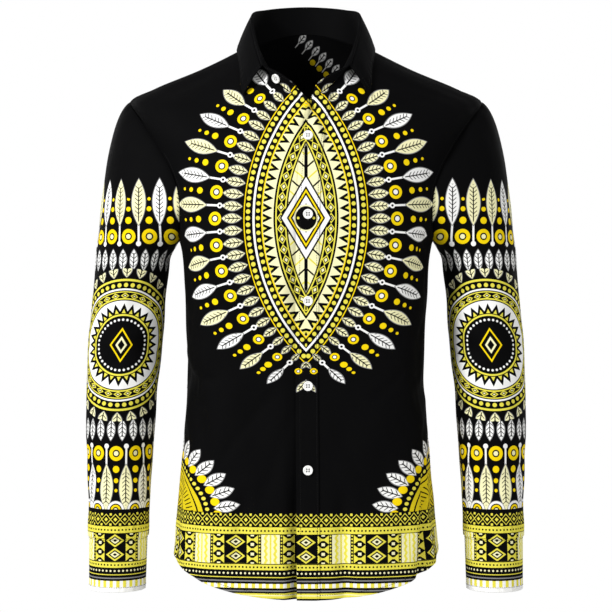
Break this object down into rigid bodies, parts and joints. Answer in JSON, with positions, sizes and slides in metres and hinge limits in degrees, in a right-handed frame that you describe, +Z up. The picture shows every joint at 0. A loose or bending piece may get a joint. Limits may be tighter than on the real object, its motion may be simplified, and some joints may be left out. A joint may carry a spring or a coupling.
{
  "type": "long-sleeve shirt",
  "caption": "Long-sleeve button-front shirt in printed black cloth, filled out as worn and hollow, with a spread collar, buttoned cuffs and a curved shirt-tail hem.",
  "frame": {"origin": "between the wearer's shoulders, at the height where the shoulder line meets the collar", "axes": "+Z up along the wearer, -Y to the shirt's front, +X to the wearer's left"},
  "size_m": [0.5918, 0.2545, 0.8048],
  "materials": {
    "shirt_cloth": "smooth woven cotton-blend cloth, black ground with a yellow, cream and white print",
    "button_white": "white polyester button"
  },
  "bodies": {
    "root": {"front_left": "shirt_cloth", "front_right": "shirt_cloth", "placket": "shirt_cloth", "back": "shirt_cloth", "yoke": "shirt_cloth", "collar_stand": "shirt_cloth", "collar_leaf": "shirt_cloth", "sleeve_left": "shirt_cloth", "sleeve_right": "shirt_cloth", "sleeve_placket_left": "shirt_cloth", "sleeve_placket_right": "shirt_cloth", "cuff_left": "shirt_cloth", "cuff_right": "shirt_cloth", "button_front_1": "button_white", "button_front_2": "button_white", "button_front_3": "button_white", "button_front_4": "button_white", "button_front_5": "button_white", "button_collar": "button_white", "button_cuff_left": "button_white", "button_cuff_right": "button_white"}
  },
  "joints": []
}
